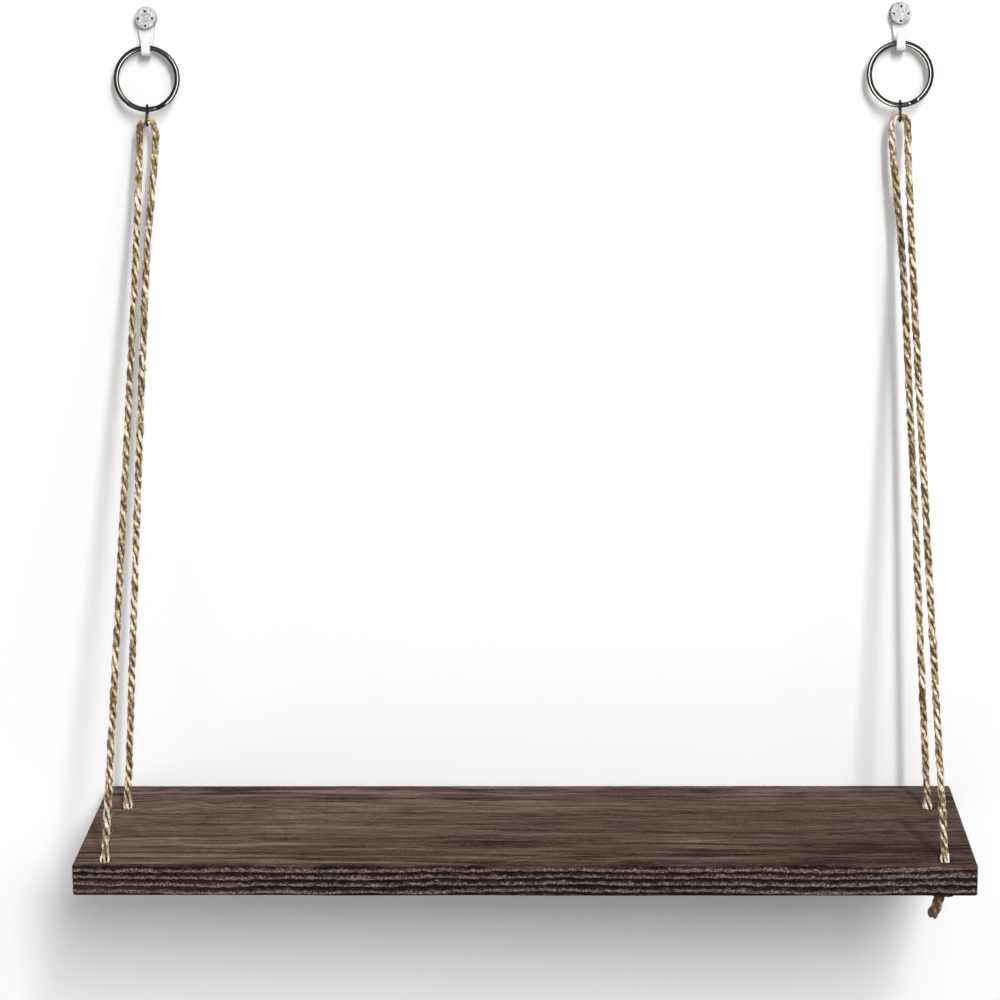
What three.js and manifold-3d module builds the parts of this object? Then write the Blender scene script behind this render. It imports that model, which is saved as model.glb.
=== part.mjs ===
// Hanging rope shelf: a wooden board slung from two wall hooks by doubled ropes, split rings and links.
// Millimetres, +Z up. The wall is the plane y = 0 and the front faces -Y.
// The origin lies on the wall, midway between the hooks, level with the seats that the rings hang in.
import * as THREE from "three";
import { mergeVertices } from "three/addons/utils/BufferGeometryUtils.js";
import Module from "manifold-3d";

const wasm = await Module();
wasm.setup();

// Board
const boardLength = 430;
const boardDepth = 120;
const boardThickness = 15.5;
const boardEase = 1.1; // rounding of the long and short edges
const holeDiameter = 6;
const holeEndInset = 14.7; // from each end to the holes' centres
const frontHoleInset = 8; // from the front edge
const rearHoleInset = 34; // from the rear edge, which lies against the wall
const holeLip = 0.7; // eased rim at both ends of a hole

// Hanging places
const hookSpacing = 364;
const hangDrop = 376; // from the ring seats to the board's top face

// Clearances
const seatGap = 0.3; // between pieces that touch
const packGap = 0.46; // between two passes of rope in a knot
const splitGap = 0.4; // between a rope's run above the board and its end in the hole
const overrun = 1; // how far a cutting tool passes the face that it cuts
const weldGap = 1e-5; // corners of a drawn surface nearer than this are one

// Split ring: a domed flat wire wound two turns
const ringDiameter = 32;
const ringWireWidth = 2.4;
const ringWireThickness = 1.05;
const ringCoilGap = 0.45; // between the two coils
const ringEndGap = 0.5; // from a blunt end to the step that crosses over
const ringStepLength = 5; // length of the step from the front coil to the rear coil
const ringStepOffset = 7; // from the ring's lowest point to the middle of the step
const ringRings = 76;

// Link: an oval of round wire, left open by a hair
const linkWireDiameter = 1;
const linkPitch = 5.4; // between the centres of its two round ends
const linkMouth = 0.5;

// Rope: a three-strand twist, plain round here
const ropeDiameter = 3.5;
const packedDiameter = 2.6; // in a knot, where the rope is drawn thin
const bightHalfWidth = 3.7; // from the link to each strand, just under the fold
const leftKnotInset = 54; // from the board's front edge to the knot under it
const rightKnotInset = 23;
const shortestRun = 12; // a knot nearer to its hole than this has no run along the board
const slingStep = 16; // longest piece of a rope's line above the board
const endStep = 8; // and under it
const ropeSides = 8;

// Wall hook, moulded in one piece
const headDiameter = 10.8;
const headDepth = 5;
const headDraft = 0.4; // loss of radius from the wall to the face
const headDome = 0.6;
const headRise = 14.2; // from the ring seat up to the head's centre
const plateThickness = 1.8;
const neckTopWidth = 8.8;
const neckFootWidth = 5;
const tongueWidth = 4;
const tongueFlare = 0.5; // extra width at the foot
const tongueThickness = 1.7;
const tongueRise = 5.3; // from the ring seat up to the tip
const floorThickness = 2.2;
const heelRadius = 3; // outer rounding under the seat

// Nails that pin the hook
const nailDiameter = 1;
const nailCircleDiameter = 6.8;
const nailsPerHook = 4;
const nailInWall = 8.5;
const nailPoint = 1.8;
const nailHoleDiameter = 1.6;
const nailProud = 0.2;

// Worked out from the sizes above
const ringHalfAxial = ringWireThickness + ringCoilGap / 2;
const ringCorner = Math.hypot(ringHalfAxial, ringWireWidth / 2);
const slotRadius = ringCorner + seatGap;
const seatOut = plateThickness + slotRadius;
const ringRadius = (ringDiameter - ringWireWidth) / 2;
const linkInnerRadius = Math.max(ringCorner, ropeDiameter / 2) + seatGap;
const linkBend = linkInnerRadius + linkWireDiameter / 2;
const hangLean = Math.atan2(boardDepth / 2 - seatOut, hangDrop + boardThickness / 2);
const bightDistance = 2 * ringRadius + linkPitch; // from the seat to the rope's fold
const bightY = -seatOut - bightDistance * Math.sin(hangLean);
const bightZ = -bightDistance * Math.cos(hangLean);
const hookX = hookSpacing / 2;
const holeX = boardLength / 2 - holeEndInset;
const frontHoleY = frontHoleInset - boardDepth;
const rearHoleY = -rearHoleInset;
const boardTop = -hangDrop;
const boardUnder = boardTop - boardThickness;
const ropePitch = packedDiameter + packGap; // between two passes in a knot

const materials = {
  wood: new THREE.MeshStandardMaterial({ color: 0x57443c, roughness: 0.78, metalness: 0 }),
  jute: new THREE.MeshStandardMaterial({ color: 0xa88d5f, roughness: 0.95, metalness: 0 }),
  bronze: new THREE.MeshStandardMaterial({ color: 0x2c2320, roughness: 0.35, metalness: 0.9 }),
  plastic: new THREE.MeshStandardMaterial({ color: 0xf2f1f0, roughness: 0.4, metalness: 0 }),
  steel: new THREE.MeshStandardMaterial({ color: 0x55565a, roughness: 0.35, metalness: 0.9 }),
};

// A closed surface as a solid, and a solid as a surface again
function toSolid(geometry) {
  const bare = geometry.clone();
  bare.deleteAttribute("normal");
  bare.deleteAttribute("uv");
  const merged = mergeVertices(bare, weldGap);
  return new wasm.Manifold(new wasm.Mesh({
    numProp: 3,
    vertProperties: new Float32Array(merged.attributes.position.array),
    triVerts: new Uint32Array(merged.index.array),
  }));
}

function toGeometry(solid) {
  const mesh = solid.getMesh();
  const geometry = new THREE.BufferGeometry();
  geometry.setAttribute("position", new THREE.BufferAttribute(mesh.vertProperties, 3));
  geometry.setIndex(new THREE.BufferAttribute(mesh.triVerts, 1));
  geometry.computeVertexNormals();
  return geometry;
}

// An outline extruded along the cross product of the two axes that it is drawn on
function extrudeOn(shape, across, along, options) {
  const geometry = new THREE.ExtrudeGeometry(shape, options);
  const basis = new THREE.Matrix4().makeBasis(across, along, across.clone().cross(along));
  return geometry.applyMatrix4(basis);
}

function circleSection(diameter, sides) {
  return Array.from({ length: sides }, (_, i) => {
    const angle = ((i + 0.5) / sides) * 2 * Math.PI;
    return [(diameter / 2) * Math.cos(angle), (diameter / 2) * Math.sin(angle)];
  });
}

// A section carried along a line of points without twisting, closed by a lid at each end.
// The section's first coordinate starts out along firstAxis, and sizes scale it from point to point.
function sweep(points, section, firstAxis, sizes = points.map(() => 1)) {
  const last = points.length - 1;
  const positions = [];
  let normal = firstAxis.clone();
  points.forEach((point, i) => {
    const tangent = points[Math.min(i + 1, last)].clone().sub(points[Math.max(i - 1, 0)]).normalize();
    normal = normal.clone().addScaledVector(tangent, -normal.dot(tangent)).normalize();
    const binormal = tangent.clone().cross(normal);
    for (const [a, b] of section) {
      const corner = point.clone().addScaledVector(normal, a * sizes[i]);
      corner.addScaledVector(binormal, b * sizes[i]);
      positions.push(corner.x, corner.y, corner.z);
    }
  });
  const count = section.length;
  const index = [];
  for (let i = 0; i < last; i++) {
    for (let j = 0; j < count; j++) {
      const a = i * count + j;
      const b = i * count + ((j + 1) % count);
      index.push(a, b, a + count, b, b + count, a + count);
    }
  }
  for (let j = 1; j < count - 1; j++) {
    index.push(0, j + 1, j);
    index.push(last * count, last * count + j, last * count + j + 1);
  }
  const geometry = new THREE.BufferGeometry();
  geometry.setAttribute("position", new THREE.Float32BufferAttribute(positions, 3));
  geometry.setIndex(index);
  geometry.computeVertexNormals();
  return geometry;
}

// The board, drilled from above for the four strands
function drill() {
  const r = holeDiameter / 2;
  const top = boardTop + overrun;
  const under = boardUnder - overrun;
  const profile = [
    [0, under], [r + holeLip + overrun, under], [r, boardUnder + holeLip],
    [r, boardTop - holeLip], [r + holeLip + overrun, top], [0, top],
  ];
  const geometry = new THREE.LatheGeometry(profile.map(([x, y]) => new THREE.Vector2(x, y)), 24);
  return toSolid(geometry.rotateX(Math.PI / 2));
}

function boardGeometry() {
  const x = boardLength / 2 - boardEase;
  const front = boardEase - boardDepth;
  const plan = new THREE.Shape();
  plan.moveTo(-x, front);
  plan.lineTo(x, front);
  plan.lineTo(x, -boardEase);
  plan.lineTo(-x, -boardEase);
  plan.closePath();
  const blank = new THREE.ExtrudeGeometry(plan, {
    depth: boardThickness - 2 * boardEase,
    bevelThickness: boardEase,
    bevelSize: boardEase,
    bevelSegments: 3,
  });
  let solid = toSolid(blank.translate(0, 0, boardUnder + boardEase));
  const tool = drill();
  for (const side of [-1, 1]) {
    for (const y of [frontHoleY, rearHoleY]) {
      solid = solid.subtract(tool.translate([side * holeX, y, 0]));
    }
  }
  return toGeometry(solid);
}

// Wall hook: a drafted, domed head, a tapering back plate and a J that the ring drops into
function hookHead() {
  const r = headDiameter / 2;
  const face = headDome - headDepth;
  const profile = [[0, -headDepth]];
  for (const share of [0.35, 0.65, 0.85, 0.96]) {
    profile.push([(r - headDraft) * share, -headDepth + headDome * (1 - Math.sqrt(1 - share ** 2))]);
  }
  profile.push([r - headDraft, face], [r, -headDraft], [r, 0], [0, 0]);
  const geometry = new THREE.LatheGeometry(profile.map(([x, y]) => new THREE.Vector2(x, y)), 32);
  return toSolid(geometry.translate(0, 0, headRise));
}

function hookPlate() {
  const r = headDiameter / 2 - headDraft;
  const foot = -slotRadius - floorThickness + heelRadius;
  const meet = Math.asin(neckTopWidth / 2 / r);
  const outline = new THREE.Shape();
  outline.moveTo(-tongueWidth / 2, foot);
  outline.lineTo(tongueWidth / 2, foot);
  outline.lineTo(neckFootWidth / 2, slotRadius);
  outline.lineTo(neckTopWidth / 2, headRise - r * Math.cos(meet));
  outline.absarc(0, headRise, r, meet - Math.PI / 2, 1.5 * Math.PI - meet, false);
  outline.lineTo(-neckFootWidth / 2, slotRadius);
  outline.closePath();
  const across = new THREE.Vector3(1, 0, 0);
  const up = new THREE.Vector3(0, 0, 1);
  const options = { depth: plateThickness, bevelEnabled: false, curveSegments: 16 };
  return toSolid(extrudeOn(outline, across, up, options));
}

function hookTongue() {
  const out = seatOut + slotRadius + tongueThickness;
  const under = -slotRadius - floorThickness;
  const tip = tongueThickness / 2;
  const side = new THREE.Shape();
  side.moveTo(0, heelRadius + under);
  side.absarc(heelRadius, heelRadius + under, heelRadius, Math.PI, 1.5 * Math.PI, false);
  side.lineTo(out - heelRadius, under);
  side.absarc(out - heelRadius, heelRadius + under, heelRadius, -Math.PI / 2, 0, false);
  side.lineTo(out, tongueRise - tip);
  side.absarc(out - tip, tongueRise - tip, tip, 0, Math.PI, false);
  side.lineTo(seatOut + slotRadius, 0);
  side.absarc(seatOut, 0, slotRadius, 0, -Math.PI, true);
  side.lineTo(plateThickness, slotRadius);
  side.lineTo(0, slotRadius);
  side.closePath();
  const outward = new THREE.Vector3(0, -1, 0);
  const up = new THREE.Vector3(0, 0, 1);
  const options = { depth: tongueWidth, bevelEnabled: false, curveSegments: 10 };
  const geometry = extrudeOn(side, outward, up, options);
  geometry.translate(tongueWidth / 2, 0, 0);
  const position = geometry.attributes.position;
  const height = tongueRise - under;
  for (let i = 0; i < position.count; i++) {
    const low = (tongueRise - position.getZ(i)) / height;
    position.setX(i, position.getX(i) * (1 + (tongueFlare / tongueWidth) * low ** 2));
  }
  return toSolid(geometry);
}

function nailPlaces() {
  return Array.from({ length: nailsPerHook }, (_, i) => {
    const angle = (i / nailsPerHook) * 2 * Math.PI;
    const r = nailCircleDiameter / 2;
    return [r * Math.sin(angle), headRise + r * Math.cos(angle)];
  });
}

function hookGeometry() {
  let solid = hookHead().add(hookPlate()).add(hookTongue());
  const length = headDepth + 2 * overrun;
  const hole = new THREE.CylinderGeometry(nailHoleDiameter / 2, nailHoleDiameter / 2, length, 12);
  const tool = toSolid(hole.translate(0, -headDepth / 2, 0));
  for (const [x, z] of nailPlaces()) {
    solid = solid.subtract(tool.translate([x, 0, z]));
  }
  return toGeometry(solid);
}

function nailGeometry() {
  const r = nailDiameter / 2;
  const outer = -headDepth - nailProud;
  const profile = [
    [0, outer], [r * 0.7, outer], [r, outer + nailProud], [r, nailInWall - nailPoint], [0, nailInWall],
  ];
  return new THREE.LatheGeometry(profile.map(([x, y]) => new THREE.Vector2(x, y)), 8);
}

// Split ring, drawn hanging straight down from the seat: the front coil, the step, then the rear coil
function ringGeometry() {
  const stepAngle = ringStepLength / ringRadius;
  const start = Math.PI - ringStepOffset / ringRadius + stepAngle / 2;
  const endAngle = ringEndGap / ringRadius;
  const total = 4 * Math.PI - stepAngle - 2 * endAngle;
  const coilY = (ringWireThickness + ringCoilGap) / 2;
  const points = [];
  for (let i = 0; i <= ringRings; i++) {
    const turned = (i / ringRings) * total;
    const angle = start + endAngle + turned;
    const intoStep = (turned + endAngle - (2 * Math.PI - stepAngle)) / stepAngle;
    const y = coilY * (2 * THREE.MathUtils.smoothstep(intoStep, 0, 1) - 1);
    points.push(new THREE.Vector3(ringRadius * Math.sin(angle), y, ringRadius * (Math.cos(angle) - 1)));
  }
  const w = ringWireWidth / 2;
  const t = ringWireThickness / 2;
  const section = [
    [-w, -t * 0.4], [-w * 0.7, -t], [w * 0.7, -t], [w, -t * 0.4],
    [w, t * 0.4], [w * 0.7, t], [-w * 0.7, t], [-w, t * 0.4],
  ];
  const outward = new THREE.Vector3(Math.sin(start + endAngle), 0, Math.cos(start + endAngle));
  return sweep(points, section, outward);
}

// Link, in the plane across the ring: down one side, round the rope, up the other and over the ring
function linkGeometry() {
  const upper = -2 * ringRadius;
  const lower = upper - linkPitch;
  const points = [];
  const mouth = linkMouth / 2;
  const arc = (z, from, to) => {
    for (let i = 0; i <= 10; i++) {
      const angle = from + ((to - from) * i) / 10;
      points.push(new THREE.Vector3(0, linkBend * Math.cos(angle), z + linkBend * Math.sin(angle)));
    }
  };
  const middle = (upper + lower) / 2;
  points.push(new THREE.Vector3(0, linkBend, middle - mouth));
  arc(lower, 0, -Math.PI);
  arc(upper, Math.PI, 0);
  points.push(new THREE.Vector3(0, linkBend, middle + mouth));
  return sweep(points, circleSection(linkWireDiameter, ropeSides), new THREE.Vector3(1, 0, 0));
}

// A smooth line through the points of a rope's route, with its rings bunched where it bends
function ropeLine(route, straightStep) {
  const curve = new THREE.CatmullRomCurve3(route.map((p) => new THREE.Vector3(...p)));
  const fine = curve.getPoints(60 * route.length);
  const kept = [fine[0]];
  let turned = 0;
  for (let i = 1; i < fine.length - 1; i++) {
    const before = fine[i].clone().sub(fine[i - 1]);
    const after = fine[i + 1].clone().sub(fine[i]);
    turned += before.angleTo(after);
    if (turned > 0.3 || fine[i].distanceTo(kept[kept.length - 1]) > straightStep) {
      kept.push(fine[i]);
      turned = 0;
    }
  }
  kept.push(fine[fine.length - 1]);
  return kept;
}

// The rope above the board: up from the front hole, over the link and down to the rear hole.
// Out is the distance from the hook towards the board's end, and share the way down to the board.
function slingRoute(side) {
  const reach = holeX - hookX;
  const b = bightHalfWidth;
  const at = (holeY, out, share) => [
    side * (hookX + out), bightY + (holeY - bightY) * share, bightZ + (boardTop - bightZ) * share,
  ];
  const strand = (holeY, outward) => [
    at(holeY, reach, 1 - splitGap / (bightZ - boardTop)),
    at(holeY, 0.495 * reach + outward * 0.2 * b, 0.49),
    at(holeY, 0.185 * reach + outward * 0.48 * b, 0.185),
    at(holeY, outward * b, 0.032),
    at(holeY, outward * 0.98 * b, 0.013),
    at(holeY, outward * 0.66 * b, 0.0028),
  ];
  return [...strand(frontHoleY, 1), at(frontHoleY, 0, 0), ...strand(rearHoleY, -1).reverse()];
}

// Half of a reef knot's loop, in passes of rope: aside from its middle, along it and up.
// The other half is its mirror, and the second loop is the first one turned over.
const reefShares = [
  [0.56, -3.2, 0], [0.56, -2, 0.56], [0.6, -0.9, 0.1], [1.25, 0, -0.6],
  [1.9, 0.95, -0.1], [1.6, 1.9, 0.52], [0.56, 2.15, 0.62],
];

// How each free end hangs from its knot, in shares of the rope's diameter
const freeEndShares = {
  leftFront: [[-0.2, -0.74, -0.46], [-0.5, -1.43, -1.31], [-0.8, -1.9, -2.35]],
  leftRear: [[-0.2, 0.8, -0.34], [-0.5, 1.6, -1.03], [-0.9, 2.23, -2]],
  rightFront: [[-0.26, -0.49, -0.86], [-0.63, -0.77, -1.89], [-1.09, -0.97, -3.09]],
  rightRear: [[-0.2, 0.8, -0.4], [-0.5, 1.49, -1.2], [-0.8, 1.94, -2.17]],
};

// One end of the rope: down its hole, along under the board, once round in the knot and out
function endRoute(side, holeY, middleY, freeEnd) {
  const toKnot = Math.sign(middleY - holeY);
  const knotZ = boardUnder - seatGap - packedDiameter / 2 - 0.62 * ropePitch;
  const runZ = boardUnder - seatGap - ropeDiameter / 2;
  const place = (x, y, z) => [side * (holeX + x), y, z];
  const d = ropeDiameter;
  const loop = [...reefShares, ...reefShares.map(([a, b, c]) => [-a, b, c]).reverse()].map(([a, b, c]) =>
    place(a * ropePitch, middleY + toKnot * b * ropePitch, knotZ + toKnot * c * ropePitch));
  const slope = (holeY - bightY) / (bightZ - boardTop);
  const lean = 0.9 * slope;
  const down = [
    place(0, holeY, boardTop),
    place(0, holeY + 0.57 * d * slope, boardTop - 0.57 * d),
    place(0, holeY + 0.57 * d * lean, boardTop - 0.4 * boardThickness),
    place(0, holeY + 0.28 * d * lean, boardUnder + 0.1 * boardThickness),
    place(0.06 * d, holeY + toKnot * 0.26 * d, boardUnder - 0.46 * d),
  ];
  const entry = middleY - toKnot * 3.2 * ropePitch;
  const run = [];
  if (Math.abs(entry - holeY) > shortestRun) {
    run.push(place(0.2 * d, holeY + toKnot * 1.29 * d, runZ - 0.2 * d));
    run.push(place(0.5 * d, (holeY + entry) / 2, runZ - 0.06 * d));
  }
  const exit = loop[loop.length - 1];
  const free = freeEnd.map(([x, y, z]) => [exit[0] + side * x * d, exit[1] + y * d, exit[2] + z * d]);
  return [...down, ...run, ...loop, ...free];
}

// The rope is drawn thin inside the knot and swells to its full size on either side of it
function endSizes(points, middleY) {
  const full = ropeDiameter / packedDiameter;
  const knotZ = boardUnder - seatGap - packedDiameter / 2;
  return points.map((p) => {
    const away = Math.hypot(p.y - middleY, 1.2 * (p.z - knotZ)) / ropePitch;
    return 1 + (full - 1) * THREE.MathUtils.smoothstep(away, 3.2, 4.4);
  });
}

// Prints the least gap between the two ropes of a knot, and between passes of one rope
function printLeastGap(name, ends) {
  const samples = ends.flatMap(({ points, sizes }, rope) => {
    const curve = new THREE.CatmullRomCurve3(points);
    const last = points.length - 1;
    let along = 0;
    let before = points[0];
    return Array.from({ length: 501 }, (_, i) => {
      const at = curve.getPoint(i / 500);
      const k = Math.min(Math.floor((i / 500) * last), last - 1);
      const size = THREE.MathUtils.lerp(sizes[k], sizes[k + 1], (i / 500) * last - k);
      along += at.distanceTo(before);
      before = at;
      return { rope, at, along, r: (size * packedDiameter) / 2 };
    });
  });
  const least = { two: Infinity, one: Infinity };
  samples.forEach((p, i) => {
    for (const q of samples.slice(i + 1)) {
      const gap = p.at.distanceTo(q.at) - p.r - q.r;
      if (p.rope !== q.rope) least.two = Math.min(least.two, gap);
      else if (q.along - p.along > 3 * ropeDiameter) least.one = Math.min(least.one, gap);
    }
  });
  console.log(`${name}: least gap ${least.two.toFixed(2)} mm, within one rope ${least.one.toFixed(2)} mm`);
}

function named(name, geometry, material) {
  const mesh = new THREE.Mesh(geometry, material);
  mesh.name = name;
  return mesh;
}

// Everything that hangs at one end of the board, side -1 on the left and 1 on the right
function hangingSide(name, side) {
  const group = new THREE.Group();
  const hook = new THREE.Group();
  hook.position.x = side * hookX;
  hook.add(named(`${name}_hook`, hookGeometry(), materials.plastic));
  nailPlaces().forEach(([x, z], i) => {
    const nail = named(`${name}_nail_${i + 1}`, nailGeometry(), materials.steel);
    nail.position.set(x, 0, z);
    hook.add(nail);
  });
  const hanging = new THREE.Group();
  hanging.position.y = -seatOut;
  hanging.rotation.x = -hangLean;
  hanging.add(named(`${name}_ring`, ringGeometry(), materials.bronze));
  hanging.add(named(`${name}_link`, linkGeometry(), materials.bronze));
  hook.add(hanging);
  group.add(hook);

  const jute = materials.jute;
  const axis = new THREE.Vector3(1, 0, 0);
  const sling = ropeLine(slingRoute(side), slingStep);
  group.add(named(`${name}_rope`, sweep(sling, circleSection(ropeDiameter, ropeSides), axis), jute));
  const knotY = (side < 0 ? leftKnotInset : rightKnotInset) - boardDepth;
  const ends = [["front", frontHoleY], ["rear", rearHoleY]].map(([which, holeY]) => {
    const freeEnd = freeEndShares[name + which[0].toUpperCase() + which.slice(1)];
    const points = ropeLine(endRoute(side, holeY, knotY, freeEnd), endStep);
    const sizes = endSizes(points, knotY);
    const tube = sweep(points, circleSection(packedDiameter, ropeSides), axis, sizes);
    group.add(named(`${name}_rope_${which}_end`, tube, jute));
    return { points, sizes };
  });
  printLeastGap(`${name} knot`, ends);
  return group;
}

const shelf = new THREE.Group();
shelf.add(named("board", boardGeometry(), materials.wood));
shelf.add(hangingSide("left", -1));
shelf.add(hangingSide("right", 1));

export default shelf;
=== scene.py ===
# Hanging rope shelf: a torched board slung from two wall hooks by doubled jute rope
import math

import bpy
import numpy as np
from mathutils import Euler, Matrix, Vector


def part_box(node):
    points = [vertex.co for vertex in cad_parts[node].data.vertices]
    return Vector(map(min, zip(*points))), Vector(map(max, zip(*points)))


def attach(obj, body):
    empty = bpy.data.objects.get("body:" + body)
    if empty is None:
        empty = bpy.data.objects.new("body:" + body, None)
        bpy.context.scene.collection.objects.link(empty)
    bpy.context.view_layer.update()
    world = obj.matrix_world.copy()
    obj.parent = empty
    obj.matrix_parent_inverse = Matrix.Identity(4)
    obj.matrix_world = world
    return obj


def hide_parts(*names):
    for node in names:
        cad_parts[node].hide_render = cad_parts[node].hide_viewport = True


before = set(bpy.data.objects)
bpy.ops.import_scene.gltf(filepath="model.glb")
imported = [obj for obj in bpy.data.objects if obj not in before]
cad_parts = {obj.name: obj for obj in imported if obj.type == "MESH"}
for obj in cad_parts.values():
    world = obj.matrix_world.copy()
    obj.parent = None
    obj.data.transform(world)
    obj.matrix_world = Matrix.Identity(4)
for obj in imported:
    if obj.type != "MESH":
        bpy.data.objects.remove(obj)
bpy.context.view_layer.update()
mm = 0.001

# Places read from the solids
boardLow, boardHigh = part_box("board")
boardTop, boardUnder = boardHigh.z, boardLow.z
boardThickness = boardTop - boardUnder
frontEdge = boardLow.y
hookLow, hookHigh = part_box("right_hook")
hookX = (hookLow.x + hookHigh.x) / 2
sides = {"left": -1, "right": 1}
fit = {"seatGap": 0.3 * mm, "packGap": 0.46 * mm}  # clearances of hanging pieces and of rope in a knot


# Camera, where the photograph was taken from
photoView = {"place": (28.2 * mm, -1531.3 * mm, 133.6 * mm), "yaw": -1.531, "down": 13.217, "roll": -0.499,
             "lens": 113.218, "sensor": 36, "nearest": 0.05}


def makeCamera():
    data = bpy.data.cameras.new("camera")
    data.lens = photoView["lens"]
    data.sensor_width = photoView["sensor"]
    data.clip_start = photoView["nearest"]
    camera = bpy.data.objects.new("camera", data)
    turn = Euler((math.radians(90 - photoView["down"]), 0, math.radians(-photoView["yaw"]))).to_matrix()
    turn = turn @ Matrix.Rotation(math.radians(photoView["roll"]), 3, "Z")
    camera.matrix_world = Matrix.Translation(photoView["place"]) @ turn.to_4x4()
    bpy.context.scene.collection.objects.link(camera)
    bpy.context.scene.camera = camera


makeCamera()
print("camera set")


# Smooth noise from -1 to 1 on rows of three coordinates, the same on every run
def softNoise(points, seed=0):
    points = np.asarray(points, float)
    cell = np.floor(points).astype(np.int64)
    part = points - cell
    part = part * part * (3 - 2 * part)
    total = np.zeros(len(points))
    for corner in range(8):
        step = np.array([corner & 1, corner >> 1 & 1, corner >> 2])
        c = cell + step
        n = (c[:, 0] * 374761393 + c[:, 1] * 668265263 + c[:, 2] * 1442695041 + seed * 97531) & 0xFFFFFFFF
        n = ((n ^ (n >> 13)) * 1274126177) & 0xFFFFFFFF
        n = (n ^ (n >> 16)) & 0xFFFF
        total += (n / 32767.5 - 1) * np.prod(np.where(step, part, 1 - part), axis=1)
    return total


def noiseOf(a, b=0.0, c=0.0, seed=0):
    a, b, c = np.broadcast_arrays(np.asarray(a, float), b, c)
    return softNoise(np.stack([a.ravel(), b.ravel(), c.ravel()], axis=1), seed).reshape(a.shape)


def smooth(value, start, end):
    share = np.clip((value - start) / (end - start), 0, 1)
    return share * share * (3 - 2 * share)


# Makes an object from vertices and faces, with what each vertex knows for its shader
def makeMesh(name, vertices, faces, material, known=()):
    mesh = bpy.data.meshes.new(name)
    mesh.from_pydata(np.asarray(vertices).tolist(), [], faces)
    for label, values in dict(known).items():
        vector = np.ndim(values) == 2
        layer = mesh.attributes.new(label, "FLOAT_VECTOR" if vector else "FLOAT", "POINT")
        layer.data.foreach_set("vector" if vector else "value", np.asarray(values, np.float32).ravel())
    mesh.materials.append(material)
    mesh.polygons.foreach_set("use_smooth", [True] * len(mesh.polygons))
    mesh.update()
    obj = bpy.data.objects.new(name, mesh)
    bpy.context.scene.collection.objects.link(obj)
    return obj


# Replaces an object's mesh by what its modifiers make of it
def settle(obj):
    bpy.context.view_layer.update()
    shown = obj.evaluated_get(bpy.context.evaluated_depsgraph_get())
    mesh = bpy.data.meshes.new_from_object(shown)
    obj.modifiers.clear()
    obj.data = mesh
    return obj


# Cuts closed shapes out of an object, and leaves it its one material
def drillOut(piece, drills, material):
    tool = makeMesh("drill", *joined(drills), material)
    cut = piece.modifiers.new("holes", "BOOLEAN")
    cut.object = tool
    cut.operation = "DIFFERENCE"
    settle(piece)
    bpy.data.objects.remove(tool)
    piece.data.materials.clear()
    piece.data.materials.append(material)


# A smooth line through a few points, as points an even step apart
def lineThrough(route, step):
    points = [Vector(p) for p in route]
    points = [2 * points[0] - points[1], *points, 2 * points[-1] - points[-2]]
    fine = []
    for p0, p1, p2, p3 in zip(points, points[1:], points[2:], points[3:]):
        d0, d1, d2 = ((b - a).length ** 0.5 for a, b in ((p0, p1), (p1, p2), (p2, p3)))
        t1 = ((p1 - p0) / d0 - (p2 - p0) / (d0 + d1) + (p2 - p1) / d1) * d1
        t2 = ((p2 - p1) / d1 - (p3 - p1) / (d1 + d2) + (p3 - p2) / d2) * d1
        for k in range(24):
            t = k / 24
            fine.append(p1 * (2 * t**3 - 3 * t**2 + 1) + t1 * (t**3 - 2 * t**2 + t)
                        + p2 * (3 * t**2 - 2 * t**3) + t2 * (t**3 - t**2))
    fine.append(points[-2])
    fine = np.array([tuple(p) for p in fine])
    along = np.concatenate([[0], np.cumsum(np.linalg.norm(np.diff(fine, axis=0), axis=1))])
    stops = np.linspace(0, along[-1], max(int(round(along[-1] / step)), 4) + 1)
    return np.stack([np.interp(stops, along, fine[:, axis]) for axis in range(3)], axis=1), stops


# Directions along a line and across it, carried along without twisting
def axesAlong(line, firstAxis):
    ahead = np.gradient(line, axis=0)
    ahead /= np.linalg.norm(ahead, axis=1)[:, None]
    normal = np.zeros_like(line)
    axis = np.array(firstAxis, float)
    for i, t in enumerate(ahead):
        axis = axis - t * axis.dot(t)
        axis /= np.linalg.norm(axis)
        normal[i] = axis
    return ahead, normal, np.cross(ahead, normal)


# Quads between the rings of a tube, numbered from first, and a lid at each end
def tubeFaces(rings, count, first=0):
    i, j = np.meshgrid(np.arange(rings - 1), np.arange(count), indexing="ij")
    a = first + i * count + j
    b = first + i * count + (j + 1) % count
    quads = np.stack([a, b, b + count, a + count], axis=-1).reshape(-1, 4).tolist()
    last = first + (rings - 1) * count
    return [*quads, list(range(first, first + count))[::-1], list(range(last, last + count))]


def sweep(line, section, firstAxis):
    _, normal, binormal = axesAlong(line, firstAxis)
    rings = line[:, None] + normal[:, None] * section[None, :, :1] + binormal[:, None] * section[None, :, 1:]
    return rings.reshape(-1, 3), tubeFaces(len(line), len(section))


# A profile of radius and place turned about the Y axis, closed where the radius is zero
def turned(profile, steps, x=0.0, z=0.0):
    around = np.arange(steps) / steps * 2 * math.pi
    vertices, faces, rows = [], [], []
    for r, y in profile:
        rows.append(list(range(len(vertices), len(vertices) + (steps if r else 1))))
        vertices += [(x + r * math.cos(a), y, z + r * math.sin(a)) for a in (around if r else [0.0])]
    for low, up in zip(rows, rows[1:]):
        for j in range(steps):
            k = (j + 1) % steps
            corners = [low[j % len(low)], low[k % len(low)], up[k % len(up)], up[j % len(up)]]
            faces.append(list(dict.fromkeys(corners)))
    return vertices, faces


# A closed outline carried straight along a depth
def prism(outline, depth):
    n = len(outline)
    vertices = [*outline, *((np.array(outline) + depth).tolist())]
    faces = [list(range(n))[::-1], list(range(n, 2 * n))]
    faces += [[i, (i + 1) % n, n + (i + 1) % n, n + i] for i in range(n)]
    return vertices, faces


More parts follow.
